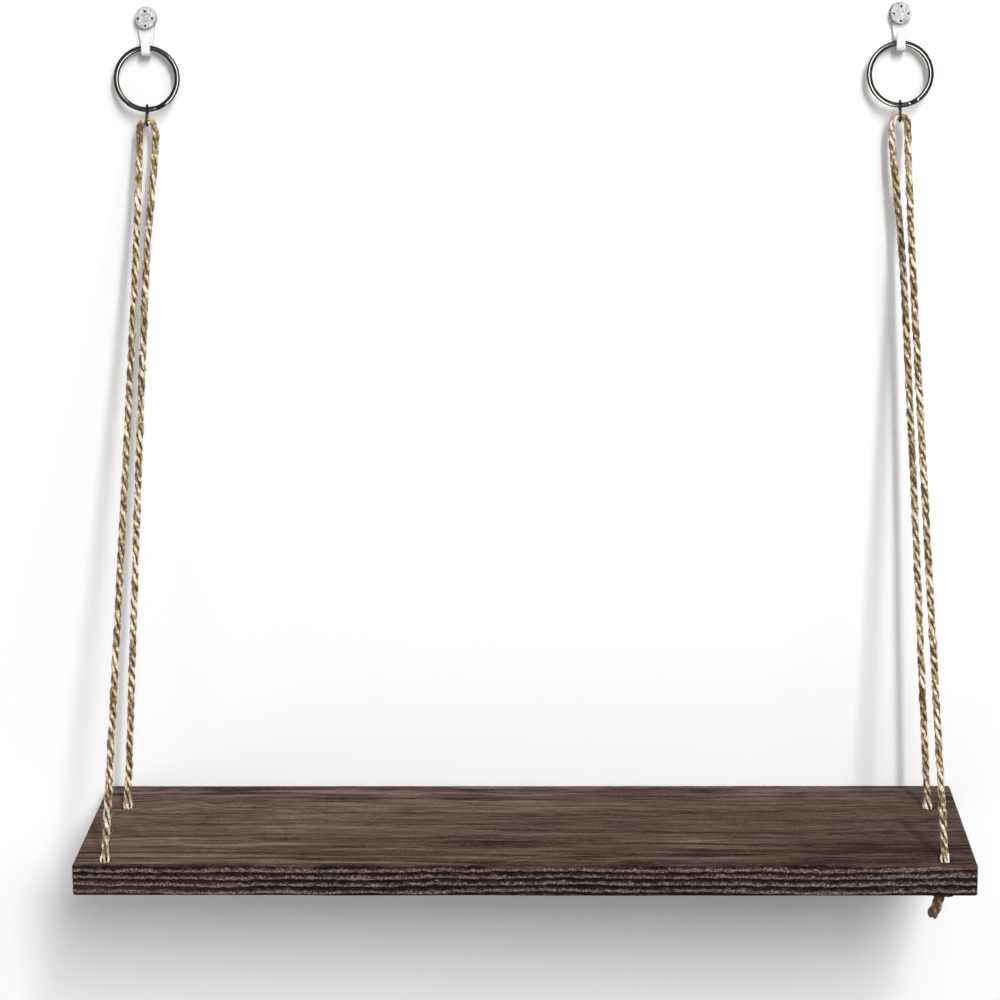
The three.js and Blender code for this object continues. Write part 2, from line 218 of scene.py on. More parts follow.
def arc(middle, radius, start, end, steps=16):
    turn = np.linspace(math.radians(start), math.radians(end), steps)
    return [(middle[0] + radius * math.cos(t), middle[1] + radius * math.sin(t)) for t in turn]


def joined(parts):
    vertices, faces = [], []
    for partVertices, partFaces in parts:
        faces += [[len(vertices) + i for i in face] for face in partFaces]
        vertices += list(partVertices)
    return vertices, faces


# Shader maths: wraps a socket, so that materials are written as expressions
class Shade:
    def __init__(self, tree, socket=None):
        self.tree = tree
        self.socket = socket

    def node(self, kind, settings=None, inputs=None, output=0):
        made = self.tree.nodes.new("ShaderNode" + kind)
        for key, value in (settings or {}).items():
            setattr(made, key, value)
        for key, value in (inputs or {}).items():
            if isinstance(value, Shade):
                self.tree.links.new(value.socket, made.inputs[key])
            else:
                made.inputs[key].default_value = value
        return Shade(self.tree, made.outputs[output] if made.outputs else None)

    def maths(self, operation, *values):
        return self.node("Math", {"operation": operation}, dict(enumerate(values or [self])))

    def __add__(self, other):
        return self.maths("ADD", self, other)

    def __radd__(self, other):
        return self.maths("ADD", other, self)

    def __sub__(self, other):
        return self.maths("SUBTRACT", self, other)

    def __rsub__(self, other):
        return self.maths("SUBTRACT", other, self)

    def __mul__(self, other):
        return self.maths("MULTIPLY", self, other)

    def __rmul__(self, other):
        return self.maths("MULTIPLY", other, self)

    def clamped(self):
        return self.node("Clamp", None, {"Value": self})

    def between(self, start, end):  # 0 below start, 1 above end, smooth between
        return self.node("MapRange", {"interpolation_type": "SMOOTHSTEP"}, {0: self, 1: start, 2: end})

    def scaled(self, *factors):  # a vector times three numbers
        return self.node("VectorMath", {"operation": "MULTIPLY"}, {0: self, 1: factors})

    def noise(self, detail=2.0, roughness=0.5, distortion=0.0):  # around 0.5
        return self.node("TexNoise", None, {"Vector": self, "Scale": 1.0, "Detail": detail,
                                            "Roughness": roughness, "Distortion": distortion})


def mixed(factor, a, b):  # two colours; factor is a Shade
    return factor.node("Mix", {"data_type": "RGBA"}, {0: factor, 6: a, 7: b}, 2)


def startMaterial(name):
    material = bpy.data.materials.new(name)
    material.use_nodes = True
    material.node_tree.nodes.clear()
    return material, Shade(material.node_tree)


def finishMaterial(start, material, sockets, height=None, strength=0.5, distance=0.1 * mm):
    if height is not None:
        bump = {"Strength": strength, "Distance": distance, "Height": height}
        sockets["Normal"] = start.node("Bump", None, bump)
    surface = start.node("BsdfPrincipled", None, sockets)
    start.node("OutputMaterial", None, {"Surface": surface})
    return material


def colour(r, g, b):
    return (r, g, b, 1.0)


# Wall hook, moulded in one piece
hook = {"plate": 1.8 * mm, "headDiameter": 10.8 * mm, "headDepth": 5 * mm, "draft": 0.4 * mm,
        "dome": 0.6 * mm, "rise": 14.2 * mm, "neckTop": 8.8 * mm, "neckFoot": 6.2 * mm, "tongue": 4 * mm,
        "flare": 0.5 * mm, "tongueThickness": 1.7 * mm, "tongueRise": 5.3 * mm, "floor": 2.2 * mm,
        "heel": 3 * mm, "voxel": 0.14 * mm, "relax": 5, "nailHole": 1.6 * mm, "holeDepth": 1.5 * mm,
        "rimShare": 1.35, "rimDepth": 0.42 * mm, "throat": 0.75 * mm}

# White moulded plastic, very slightly mottled, with a satin skin
plastic = {"white": colour(0.88, 0.875, 0.88), "shade": colour(0.3, 0.29, 0.34),
           "mottle": (1250, 1250, 1250), "flow": (420, 420, 240),
           "plainBelow": hook["rise"] - 6 * mm, "mottledAbove": hook["rise"] - 4 * mm}


def plasticMaterial():
    material, start = startMaterial("white_plastic")
    place = start.node("TexCoord", None, None, 3)
    mottle = place.scaled(*plastic["mottle"]).noise(3, 0.65)
    flow = place.scaled(*plastic["flow"]).noise(2, 0.5, 0.6)
    up = start.node("SeparateXYZ", None, {0: place}, 2)
    onHead = up.between(plastic["plainBelow"], plastic["mottledAbove"])
    amount = (onHead * 0.95 + 0.1) * (mottle.between(0.3, 0.66) * 0.6 + flow.between(0.35, 0.7) * 0.4)
    shown = mixed(amount, plastic["white"], plastic["shade"])
    sockets = {"Base Color": shown, "Roughness": 0.44 + mottle * 0.16, "Specular IOR Level": 0.15}
    return finishMaterial(start, material, sockets, mottle * 0.5 + flow, 0.12, 0.08 * mm)


plasticFinish = plasticMaterial()


def hookParts(x):
    r = hook["headDiameter"] / 2
    inner = r - hook["draft"]
    face = hook["dome"] - hook["headDepth"]
    profile = [(0, -hook["headDepth"])]
    for share in np.linspace(0.1, 0.97, 12):
        profile.append((inner * share, -hook["headDepth"] + hook["dome"] * (1 - math.sqrt(1 - share**2))))
    profile += [(inner, face), (r, -hook["draft"]), (r, 0), (0, 0)]
    head = turned(profile, 64, x, hook["rise"])
    under = -slotRadius - hook["floor"]
    foot = under + hook["heel"]
    meet = math.degrees(math.asin(hook["neckTop"] / 2 / inner))
    plate = [(-hook["tongue"] / 2, foot), (hook["tongue"] / 2, foot), (hook["neckFoot"] / 2, slotRadius)]
    plate += arc((0, hook["rise"]), inner, meet - 90, 270 - meet, 40)
    plate += [(-hook["neckFoot"] / 2, slotRadius)]
    plate = prism([(x + a, 0, b) for a, b in plate], (0, -hook["plate"], 0))
    out = seatOut + slotRadius + hook["tongueThickness"]
    tip = hook["tongueThickness"] / 2
    tongue = [(0, foot), *arc((hook["heel"], foot), hook["heel"], 180, 270)]
    tongue += arc((out - hook["heel"], foot), hook["heel"], 270, 360)
    tongue += arc((out - tip, hook["tongueRise"] - tip), tip, 0, 180)
    tongue += [*arc((seatOut, 0), slotRadius, 0, -180, 28), (hook["plate"], slotRadius), (0, slotRadius)]
    width = hook["tongue"]
    vertices, faces = prism([(x - width / 2, -a, b) for a, b in tongue], (width, 0, 0))
    height = hook["tongueRise"] - under
    flared = []
    for px, py, pz in vertices:
        low = (hook["tongueRise"] - pz) / height
        flared.append((x + (px - x) * (1 + hook["flare"] / width * low**2), py, pz))
    return [head, plate, (flared, faces)]


# The nails that hold a hook, four in a ring
nail = {"diameter": 1 * mm, "circle": 6.8 * mm, "count": 4, "inWall": 8.5 * mm, "point": 1.8 * mm,
        "proud": 0.2 * mm, "crown": ((0.45, 0.02 * mm), (0.8, 0.08 * mm), (1, 0.24 * mm))}

# Hardened nail steel
nailSteel = {"dark": colour(0.005, 0.005, 0.006), "light": colour(0.02, 0.0195, 0.021),
             "drawn": (6000, 500, 6000)}


def steelMaterial():
    material, start = startMaterial("nail_steel")
    place = start.node("TexCoord", None, None, 3)
    drawn = place.scaled(*nailSteel["drawn"]).noise(3, 0.6)
    shown = mixed(drawn.between(0.35, 0.75), nailSteel["dark"], nailSteel["light"])
    sockets = {"Base Color": shown, "Metallic": 0.5, "Roughness": 0.46 + drawn * 0.2,
               "Specular IOR Level": 0.1}
    return finishMaterial(start, material, sockets, drawn, 0.2, 0.04 * mm)


steelFinish = steelMaterial()


def nailPlaces():
    r = nail["circle"] / 2
    for i in range(nail["count"]):
        angle = i / nail["count"] * 2 * math.pi
        yield r * math.sin(angle), hook["rise"] + r * math.cos(angle)


def makeHook(name, side):
    x = side * hookX
    piece = makeMesh(f"{name}_wall_hook", *joined(hookParts(x)), plasticFinish)
    remesh = piece.modifiers.new("fuse", "REMESH")
    remesh.mode = "VOXEL"
    remesh.voxel_size = hook["voxel"]
    relax = piece.modifiers.new("soften", "SMOOTH")
    relax.iterations = hook["relax"]
    settle(piece)
    r = hook["nailHole"] / 2
    outer = -hook["headDepth"] - hook["dome"]
    inner = hook["holeDepth"] - hook["headDepth"]
    rim = r * hook["rimShare"]
    profile = [(0, outer), (rim, outer), (rim, hook["rimDepth"] - hook["headDepth"]),
               (r, hook["throat"] - hook["headDepth"]), (r, inner), (0, inner)]
    drillOut(piece, [turned(profile, 28, x + dx, z) for dx, z in nailPlaces()], plasticFinish)
    piece.data.polygons.foreach_set("use_smooth", [True] * len(piece.data.polygons))
    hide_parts(f"{name}_hook")
    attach(piece, "wall_hooks")


def makeNails(name, side):
    r = nail["diameter"] / 2
    outer = -hook["headDepth"] - nail["proud"]
    tip = nail["inWall"]
    profile = [(0, outer), *((r * share, outer + deep) for share, deep in nail["crown"]),
               (r, tip - nail["point"]), (r * 0.55, tip - nail["point"] * 0.5), (0, tip)]
    for i, (dx, z) in enumerate(nailPlaces(), 1):
        piece = makeMesh(f"{name}_steel_nail_{i}", *turned(profile, 24, side * hookX + dx, z), steelFinish)
        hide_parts(f"{name}_nail_{i}")
        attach(piece, "wall_hooks")


# Split ring: domed flat wire wound two turns
ring = {"diameter": 32 * mm, "wireWidth": 2.4 * mm, "wireThickness": 1.05 * mm, "coilGap": 0.45 * mm,
        "endGap": 0.5 * mm, "stepLength": 5 * mm, "stepOffset": 7 * mm, "rings": 420, "sides": 20,
        "crown": 0.84, "wear": 0.55, "lacquer": 1.0}
ringCorner = math.hypot(ring["wireThickness"] + ring["coilGap"] / 2, ring["wireWidth"] / 2)
slotRadius = ringCorner + fit["seatGap"]
seatOut = hook["plate"] + slotRadius
ringRadius = (ring["diameter"] - ring["wireWidth"]) / 2

# Dark bronze plating, browner where it is worn, over wire with drawing lines
bronze = {"dark": colour(0.006, 0.0045, 0.004), "worn": colour(0.055, 0.02, 0.013),
          "patch": (420, 420, 420), "scratch": (5000, 900, 5000)}


def bronzeMaterial(name, wear, lacquer):
    material, start = startMaterial(name)
    place = start.node("TexCoord", None, None, 3)
    patch = place.scaled(*bronze["patch"]).noise(3, 0.6)
    scratch = place.scaled(*bronze["scratch"]).noise(3, 0.65)
    worn = (patch.between(0.5, 0.75) * 0.7 + scratch.between(0.55, 0.8) * 0.3) * wear
    shown = mixed(worn.clamped(), bronze["dark"], bronze["worn"])
    rough = 0.29 + scratch * 0.1 + patch * 0.05
    sockets = {"Base Color": shown, "Metallic": 0.2, "Roughness": rough, "Specular IOR Level": 0.15,
               "Coat Weight": lacquer, "Coat Roughness": 0.08}
    return finishMaterial(start, material, sockets, scratch, 0.06, 0.05 * mm)


ringFinish = bronzeMaterial("bronze_ring", ring["wear"], ring["lacquer"])


# Hangs a piece drawn straight below the seat: out from the wall and leaning
def hang(obj, side):
    place = Matrix.Translation((side * hookX, -seatOut, 0)) @ Matrix.Rotation(-hangLean, 4, "X")
    obj.data.transform(place)


def makeRing(name, side):
    stepAngle = ring["stepLength"] / ringRadius
    start = math.pi - ring["stepOffset"] / ringRadius + stepAngle / 2
    endAngle = ring["endGap"] / ringRadius
    total = 4 * math.pi - stepAngle - 2 * endAngle
    coilY = (ring["wireThickness"] + ring["coilGap"]) / 2
    wound = np.linspace(0, total, ring["rings"] + 1)
    angle = start + endAngle + wound
    y = coilY * (2 * smooth((wound + endAngle - (2 * math.pi - stepAngle)) / stepAngle, 0, 1) - 1)
    line = np.stack([ringRadius * np.sin(angle), y, ringRadius * (np.cos(angle) - 1)], axis=1)
    around = np.arange(ring["sides"]) / ring["sides"] * 2 * math.pi + math.pi / ring["sides"]
    flat = np.sign(np.cos(around)) * np.abs(np.cos(around)) ** ring["crown"]
    deep = np.sign(np.sin(around)) * np.abs(np.sin(around)) ** ring["crown"]
    section = np.stack([flat * ring["wireWidth"] / 2, deep * ring["wireThickness"] / 2], axis=1)
    vertices, faces = sweep(line, section, (math.sin(angle[0]), 0, math.cos(angle[0])))
    piece = makeMesh(f"{name}_split_ring", vertices, faces, ringFinish)
    hang(piece, side)
    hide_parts(f"{name}_ring")
    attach(piece, f"{name}_ring_body")


# Link: an oval of round wire, left open by a hair
link = {"wire": 1 * mm, "pitch": 5.4 * mm, "mouth": 0.5 * mm, "upperBend": 2.1 * mm, "sides": 14,
        "bendSteps": 25, "wear": 1.0, "lacquer": 0.1}
linkFinish = bronzeMaterial("bronze_link", link["wear"], link["lacquer"])


def makeLink(name, side):
    upper = -2 * ringRadius
    lower = upper - link["pitch"]
    middle = (upper + lower) / 2
    half = link["mouth"] / 2

    def bend(z, r, start, end):
        turn = np.linspace(start, end, link["bendSteps"])
        return np.stack([np.zeros(len(turn)), r * np.cos(turn), z + r * np.sin(turn)], axis=1)

    between = (linkBend + link["upperBend"]) / 2
    line = np.concatenate([[(0, between, middle - half)], bend(lower, linkBend, 0, -math.pi),
                           bend(upper, link["upperBend"], math.pi, 0), [(0, between, middle + half)]])
    around = np.arange(link["sides"]) / link["sides"] * 2 * math.pi
    section = np.stack([np.cos(around), np.sin(around)], axis=1) * link["wire"] / 2
    vertices, faces = sweep(line, section, (1, 0, 0))
    piece = makeMesh(f"{name}_wire_link", vertices, faces, linkFinish)
    hang(piece, side)
    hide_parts(f"{name}_link")
    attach(piece, f"{name}_link_body")


# Rope of three plies, and the fold where it hangs in the link
rope = {"diameter": 3.5 * mm, "packed": 2.6 * mm, "bightHalfWidth": 3.7 * mm, "lay": 19.5 * mm,
        "step": 0.5 * mm, "sides": 12, "radialShare": 0.24, "sideShare": 0.262, "offsetShare": 0.262,
        "fullness": 1.03, "twistOfPly": 9.5 * mm, "turnUneven": 0.22, "lump": 0.19, "smallLump": 0.08,
        "offsetUneven": 0.09, "yarnRidge": 0.1, "yarnCreaseShade": 0.26, "creaseShadeUneven": 0.5, "toneUneven": 0.38,
        "toneSpeck": 0.48, "fibresPerMetre": 5600, "longestFibre": 3.2 * mm, "fibreReach": 3.7 * mm}
linkBend = max(ringCorner, rope["diameter"] / 2) + fit["seatGap"] + link["wire"] / 2
hangLean = math.atan2(-frontEdge / 2 - seatOut, boardThickness / 2 - boardTop)
bightDistance = 2 * ringRadius + link["pitch"]
bightY = -seatOut - bightDistance * math.sin(hangLean)
bightZ = -bightDistance * math.cos(hangLean)
ropePitch = rope["packed"] + fit["packGap"]

# Jute: pale fibres along each ply, painted shade where the plies meet and a painted highlight on each ply's
# crest
jute = {"soilAndShade": colour(0.1, 0.056, 0.04), "deep": colour(0.07, 0.038, 0.013),
        "low": colour(0.135, 0.082, 0.034), "mid": colour(0.46, 0.331, 0.174),
        "high": colour(0.865, 0.685, 0.43), "pale": colour(1.0, 0.94, 0.84),
        "strand": (2600, 2600, 260), "thread": (9000, 9000, 560), "tuft": (2100, 2100, 1250)}


def juteMaterial():
    material, start = startMaterial("jute_rope")
    place = start.node("Attribute", {"attribute_name": "lay"}, None, 1)
    creaseShade = start.node("Attribute", {"attribute_name": "creaseShade"}, None, 2)
    toneAndShade = start.node("Attribute", {"attribute_name": "toneAndShade"}, None, 2)
    strand = place.scaled(*jute["strand"]).noise(3, 0.65)
    thread = place.scaled(*jute["thread"]).noise(2, 0.6)
    tuft = place.scaled(*jute["tuft"]).noise(3, 0.68)
    # the crease term paints a highlight on each ply's crest and shade on its sides
    light = strand * 0.75 + thread * 0.7 + tuft * 1.5 - 1.03 + (toneAndShade - 0.5) * 0.8 + (0.3 - creaseShade) * 0.65
    shown = mixed(light.between(0.08, 0.42), jute["low"], jute["mid"])
    shown = mixed(light.between(0.4, 0.72), shown, jute["high"])
    shown = mixed(light.between(0.66, 0.92), shown, jute["pale"])
    # painted shade in the creases where the plies meet
    shown = mixed((creaseShade + (tuft - 0.5) * 0.7).between(0.38, 0.74), shown, jute["deep"])
    # dark brown in random blotches, and painted shade on the rope ends under the board, where their tone is
    # low
    shown = mixed(((tuft - 0.5) * 1.4 - toneAndShade).between(0.05, 0.45) * 0.9, shown, jute["soilAndShade"])
    height = strand * 0.7 + thread * 0.4 + tuft * 0.8
    sockets = {"Base Color": shown, "Roughness": 0.82 - thread * 0.2, "Specular IOR Level": 0.3}
    return finishMaterial(start, material, sockets, height, 1.0, 0.35 * mm)


juteFinish = juteMaterial()


# Three plies twisted about a line, as vertices, faces and what each vertex knows
def twistedPlies(line, look):
    count, along, size = rope["sides"], look["along"], look["size"] * rope["fullness"]
    seed, opened = look["seed"], look["opened"]
    ahead, normal, binormal = axesAlong(line, (1, 0, 0))
    gap = np.diff(along, prepend=along[0])
    turn = np.cumsum(gap * look["rate"] * (1 + rope["turnUneven"] * noiseOf(along / (11 * mm), seed=seed)))
    turn = look["phase"] - turn * 2 * math.pi / rope["lay"]
    if "lastPhase" in look:  # a little more or less lay brings the plies to the angle wanted at the end
        miss = (look["lastPhase"] - turn[-1] + math.pi) % (2 * math.pi) - math.pi
        turn = turn + miss * along / along[-1]
    around = np.arange(count) / count * 2 * math.pi
    s, a = np.meshgrid(along, around, indexing="ij")
    vertices, faces, lay, creaseShade, toneAndShade, bases = [], [], [], [], [], []
    for ply in range(3):
        angle = turn + ply * 2 * math.pi / 3 + look["swing"][:, ply]
        out = normal * np.cos(angle)[:, None] + binormal * np.sin(angle)[:, None]
        aside = binormal * np.cos(angle)[:, None] - normal * np.sin(angle)[:, None]
        lump = 1 + rope["lump"] * noiseOf(along / (4.2 * mm), ply * 7.3, seed=seed + 1)
        lump = lump + rope["smallLump"] * noiseOf(along / (1.4 * mm), ply * 5.1, seed=seed + 2)
        uneven = 1 + rope["offsetUneven"] * noiseOf(along / (5 * mm), ply * 3.7, seed=seed + 3)
        middle = line + out * (rope["offsetShare"] * size * opened * uneven)[:, None]
        twisted = a - s * 2 * math.pi / rope["twistOfPly"]
        twisted = twisted + 0.8 * noiseOf(s / (7 * mm), ply * 6.1, seed=seed + 9)
        rough = 1 + 0.045 * noiseOf(np.cos(a) * 2.2 + ply * 9, np.sin(a) * 2.2, s / (1.3 * mm), seed + 4)
        rough = rough + 0.03 * noiseOf(np.cos(a) * 5 + ply * 9, np.sin(a) * 5, s / (2.2 * mm), seed + 5)
        rough = rough + rope["yarnRidge"] * np.cos(2 * twisted)
        width = (size * lump * look["plyScale"])[:, None] * rough
        radial = width * rope["radialShare"] * np.cos(a)
        lateral = width * rope["sideShare"] * np.sin(a)
        points = middle[:, None] + out[:, None] * radial[..., None] + aside[:, None] * lateral[..., None]
        reach = rope["radialShare"] * rope["diameter"]
        unrolled = np.stack([reach * np.cos(twisted), reach * np.sin(twisted), s + ply * 0.31], axis=-1)
        lay.append(unrolled.reshape(-1, 3))
        # painted shade: darker towards where a ply meets the others and in the grooves between its yarns,
        # less where the plies open
        deep = 0.5 - 0.5 * np.cos(a) / np.sqrt(1 + 1.5 * (opened[:, None] - 1))
        uneven = noiseOf(s / (3.4 * mm), ply * 4.1, np.sign(a - math.pi) * 3.0, seed + 8)
        deep = deep * (1 + rope["creaseShadeUneven"] * uneven)
        deep = deep + rope["yarnCreaseShade"] * smooth(-np.cos(2 * twisted), 0.55, 1)
        creaseShade.append((deep * look["creaseShadeAmount"][:, None]).ravel())
        shade = 0.46 + rope["toneUneven"] * noiseOf(s / (6 * mm), ply * 11.0, 0.4 * np.cos(a), seed + 6)
        shade = shade + look["palenessAndShade"][:, None]
        shade = shade + rope["toneSpeck"] * noiseOf(s / (1.4 * mm), ply * 5.0, 1.3 * np.cos(a), seed + 7)
        toneAndShade.append(shade.ravel())
        faces += tubeFaces(len(line), count, sum(len(v) for v in vertices))
        vertices.append(points.reshape(-1, 3))
        bases.append((points, out, aside, a))
    known = {"lay": np.concatenate(lay), "creaseShade": np.concatenate(creaseShade), "toneAndShade": np.concatenate(toneAndShade)}
    return np.concatenate(vertices), faces, known, bases, ahead


# Loose fibres that stand off the plies: thin tapered hairs of three sides
def looseFibres(line, bases, ahead, count, rng, first):
    rings, faces = [], []
    for _ in range(count):
        points, out, aside, a = bases[rng.integers(3)]
        i = rng.integers(2, len(points) - 2)
        j = rng.integers(points.shape[1])
        if math.cos(a[i, j]) < -0.1:
            continue
        outward = out[i] * math.cos(a[i, j]) + aside[i] * math.sin(a[i, j])
        way = ahead[i] * rng.choice((-1, 1)) + 0.25 * aside[i] * rng.normal()
        tilt = rng.uniform(0.15, 0.75)
        way = way / np.linalg.norm(way) * math.cos(tilt) + outward * math.sin(tilt)
        length = rng.uniform(0.25, 1) ** 1.5 * rope["longestFibre"]
        curl = (rng.normal(size=3) * 0.35 - outward * rng.uniform(0.1, 0.6)) * length
        across = np.cross(way, outward)
        across /= np.linalg.norm(across)
        other = np.cross(way, across)
        radius = rng.uniform(0.028, 0.062) * mm
        stops = [points[i, j] - outward * radius + way * length * t + curl * t * t * 0.5 for t in (0, 0.5, 1)]
        nearby = line[max(i - 9, 0):i + 10]
        if max(np.linalg.norm(nearby - stop, axis=1).min() for stop in stops) > rope["fibreReach"]:
            continue
        for middle, taper in zip(stops, (1, 0.85, 0.3)):
            for turn in range(3):
                angle = turn * 2 * math.pi / 3
                rings.append(middle + (across * math.cos(angle) + other * math.sin(angle)) * radius * taper)
        faces += tubeFaces(3, 3, first + len(rings) - 9)
    return np.array(rings).reshape(-1, 3), faces


def makeRope(name, line, look):
    vertices, faces, known, bases, ahead = twistedPlies(line, look)
    rng = np.random.default_rng(look["seed"])
    count = int(look["along"][-1] * rope["fibresPerMetre"])
    hairs, hairFaces = looseFibres(line, bases, ahead, count, rng, len(vertices))
    known["lay"] = np.concatenate([known["lay"], hairs * 3])
    known["creaseShade"] = np.concatenate([known["creaseShade"], np.zeros(len(hairs))])
    known["toneAndShade"] = np.concatenate([known["toneAndShade"], np.full(len(hairs), 0.95 + look["palenessAndShade"].mean())])
    return makeMesh(name, np.concatenate([vertices, hairs]), faces + hairFaces, juteFinish, known)


# The rope above the board: up from the front hole, over the link and down to the rear hole
slings = {
    "left": {"seed": 11, "front": 192, "frontSwing": (0, -26, -70), "rear": 196, "rearSwing": (0, -18, -82)},
    "right": {"seed": 47, "front": 182, "frontSwing": (0, -20, -88), "rear": 188, "rearSwing": (0, -30, -85)},
    "intoHole": 1.7 * mm, "splayLength": 7 * mm, "splay": 2.0, "slowest": 0.4, "inHole": 1.5, "pale": 0.5,
    "thinner": 0.34, "dulled": 0.5, "lessCreaseShade": 0.6, "bightCreaseShade": 0.45,
    # from the hole up: shares of the way down, of the way out to the hole and of the bight's half width
    "route": [(0.49, 0.495, 0.2), (0.185, 0.185, 0.48), (0.032, 0, 1), (0.013, 0, 0.98), (0.0028, 0, 0.66)],
}


def slingRoute(side):
    reach = holes["x"] - hookX
    b = rope["bightHalfWidth"]

    def at(holeY, out, share):
        return (side * (hookX + out), bightY + (holeY - bightY) * share, bightZ + (boardTop - bightZ) * share)

    def strand(holeY, outward):
        return [at(holeY, reach, 1 + slings["intoHole"] / (bightZ - boardTop)),
                *(at(holeY, out * reach + outward * wide * b, share) for share, out, wide in slings["route"])]

    return [*strand(holes["front"], 1), at(holes["front"], 0, 0), *strand(holes["rear"], -1)[::-1]]


def makeSling(name, side):
    own = slings[name]
    line, along = lineThrough(slingRoute(side), rope["step"])
    total, inside, length = along[-1], slings["intoHole"], slings["splayLength"]
    front = 1 - smooth(along - inside, 0, length)
    rear = 1 - smooth(total - along - inside, 0, length)
    near = np.maximum(front, rear)
    middle = 1 - smooth(np.abs(along - total / 2), 1.5 * mm, 8 * mm)
    upper = 1 - smooth(np.abs(along - total / 2), 10 * mm, 50 * mm)
    deep = 1 - smooth(np.minimum(along, total - along), 0, inside)
    # the painted crease shade is weaker near the holes and over the bight
    creaseShadeAmount = 1 - slings["lessCreaseShade"] * near - slings["bightCreaseShade"] * upper
    swing = front[:, None] * np.radians(own["frontSwing"]) + rear[:, None] * np.radians(own["rearSwing"])
    piece = makeRope(f"{name}_rope_strands", line, {
        "along": along, "size": np.full(len(line), rope["diameter"]), "seed": own["seed"], "swing": swing,
        "opened": 1 + (slings["splay"] - 1) * near * near - (slings["splay"] - slings["inHole"]) * deep,
        "rate": 1 - (1 - slings["slowest"]) * near, "plyScale": 1 - slings["thinner"] * near * near,
        "palenessAndShade": slings["pale"] * near * near - slings["dulled"] * middle, "creaseShadeAmount": creaseShadeAmount,
        "phase": math.radians(own["front"]), "lastPhase": math.radians(-own["rear"])})
    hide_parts(f"{name}_rope")
    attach(piece, f"{name}_rope_body")
    print(f"{name} sling {total / mm:.0f} mm")


# Under the board: the knots' places, half of a reef knot's loop in passes of rope, and the free ends in
# rope diameters
knots = {"leftInset": 54 * mm, "rightInset": 23 * mm, "shortestRun": 12 * mm,
         "front": {"seed": 100, "phase": 0.9}, "rear": {"seed": 200, "phase": 2.4}}
reefShares = [(0.56, -3.2, 0), (0.56, -2, 0.5), (0.6, -0.9, 0.1), (1.25, 0, -0.5),
              (1.8, 0.95, -0.1), (1.45, 1.85, 0.42), (0.5, 2.05, 0.5)]
freeEndShares = {
    "leftFront": [(-0.2, -0.74, -0.46), (-0.5, -1.43, -1.31), (-0.8, -1.9, -2.35)],
    "leftRear": [(-0.2, 0.8, -0.34), (-0.5, 1.6, -1.03), (-0.9, 2.23, -2)],
    "rightFront": [(-0.26, -0.49, -0.86), (-0.63, -0.77, -1.89), (-1.09, -0.97, -3.09)],
    "rightRear": [(-0.2, 0.8, -0.4), (-0.5, 1.49, -1.2), (-0.8, 1.94, -2.17)],
}
# the free ends get a darker tone and stronger crease shade: painted shade, as they hang under the board
cutEnd = {"length": 9 * mm, "open": 0.06, "round": 2.8 * mm, "size": 1.52, "closed": 0.82, "fat": 1.18,
          "palenessAndShade": -0.84, "creaseShadeAmount": 1.7,
          "packedTo": 2.9, "fullFrom": 3.9}  # away from the knot's middle, in passes of rope


def endRoute(side, holeY, middleY, freeEnd):
    toKnot = 1 if middleY > holeY else -1
    d = rope["diameter"]
    knotZ = boardUnder - fit["seatGap"] - rope["packed"] / 2 - 0.62 * ropePitch
    runZ = boardUnder - fit["seatGap"] - rope["packed"] / 2

    def place(x, y, z):
        return (side * (holes["x"] + x), y, z)

    half = [*reefShares, *((-a, b, c) for a, b, c in reversed(reefShares))]
    loop = [place(a * ropePitch, middleY + toKnot * b * ropePitch, knotZ + toKnot * c * ropePitch)
            for a, b, c in half]
    slope = (holeY - bightY) / (bightZ - boardTop)
    lean = 0.9 * slope
    down = [place(0, holeY + 0.66 * d * slope, boardTop - 0.66 * d),
            place(0, holeY + 0.57 * d * lean, boardTop - 0.4 * boardThickness),
            place(0, holeY + 0.28 * d * lean, boardUnder + 0.1 * boardThickness),
            place(0.06 * d, holeY + toKnot * 0.3 * d, boardUnder - 0.34 * d)]
    entry = middleY - toKnot * 3.2 * ropePitch
    run = []
    if abs(entry - holeY) > knots["shortestRun"]:
        run.append(place(0.2 * d, holeY + toKnot * 1.29 * d, runZ - 0.03 * d))
        run.append(place(0.5 * d, (holeY + entry) / 2, runZ - 0.03 * d))
    x, y, z = loop[-1]
    free = [(x + side * a * d, y + b * d, z + c * d) for a, b, c in freeEnd]
    return [*down, *run, *loop, *free]


def makeRopeEnd(name, side, which):
    middleY = frontEdge + knots[name + "Inset"]
    route = endRoute(side, holes[which], middleY, freeEndShares[name + which.title()])
    line, along = lineThrough(route, rope["step"])
    knotZ = boardUnder - fit["seatGap"] - rope["packed"] / 2
    away = np.hypot(line[:, 1] - middleY, 1.2 * (line[:, 2] - knotZ)) / ropePitch
    inHole = 1 - smooth(boardUnder - line[:, 2], -3 * mm, 0)
    free = np.where(np.arange(len(line)) > away.argmin(), 1.0, inHole)
    swollen = smooth(away, cutEnd["packedTo"], cutEnd["fullFrom"])
    size = rope["packed"] + (cutEnd["size"] * rope["diameter"] - rope["packed"]) * swollen * free
    left = along[-1] - along
    cut = 1 - smooth(left, 0, cutEnd["length"])
    piece = makeRope(f"{name}_{which}_end_strands", line, {
        "along": along, "size": size, "seed": slings[name]["seed"] + knots[which]["seed"],
        "swing": np.zeros((len(line), 3)), "opened": cutEnd["closed"] + cutEnd["open"] * cut,
        "rate": np.ones(len(line)), "phase": knots[which]["phase"],
        "palenessAndShade": np.full(len(line), cutEnd["palenessAndShade"]), "creaseShadeAmount": np.full(len(line), cutEnd["creaseShadeAmount"]),
        "plyScale": cutEnd["fat"] * np.sqrt(1 - (1 - np.clip(left / cutEnd["round"], 0.02, 1)) ** 2)})
    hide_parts(f"{name}_rope_{which}_end")
    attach(piece, "shelf")
    print(f"{name} {which} end {along[-1] / mm:.0f} mm")


